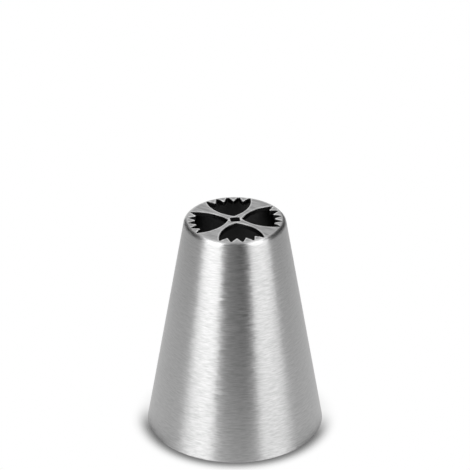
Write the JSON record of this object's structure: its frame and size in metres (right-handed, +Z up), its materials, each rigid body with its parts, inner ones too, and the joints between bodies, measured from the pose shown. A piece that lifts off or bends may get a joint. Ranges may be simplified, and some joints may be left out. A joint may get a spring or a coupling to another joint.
{
  "type": "piping nozzle",
  "caption": "Tapered steel piping nozzle; its flat face has toothed petal openings round a small square one, to press out a whole flower.",
  "frame": {"origin": "centre of the base rim, on the surface that the nozzle stands on", "axes": "+Z up the cone's axis to the face; the petals lie along X and Y, and one of them points along -Y"},
  "size_m": [0.03, 0.03, 0.0383],
  "materials": {
    "cone_steel": "brushed round the cone, satin",
    "face_steel": "brushed in one straight direction, satin",
    "weld_steel": "ground flush and brushed like the cone"
  },
  "bodies": {
    "root": {"cone_shell": "cone_steel", "face_plate": "face_steel", "weld_seam": "weld_steel"}
  },
  "joints": []
}
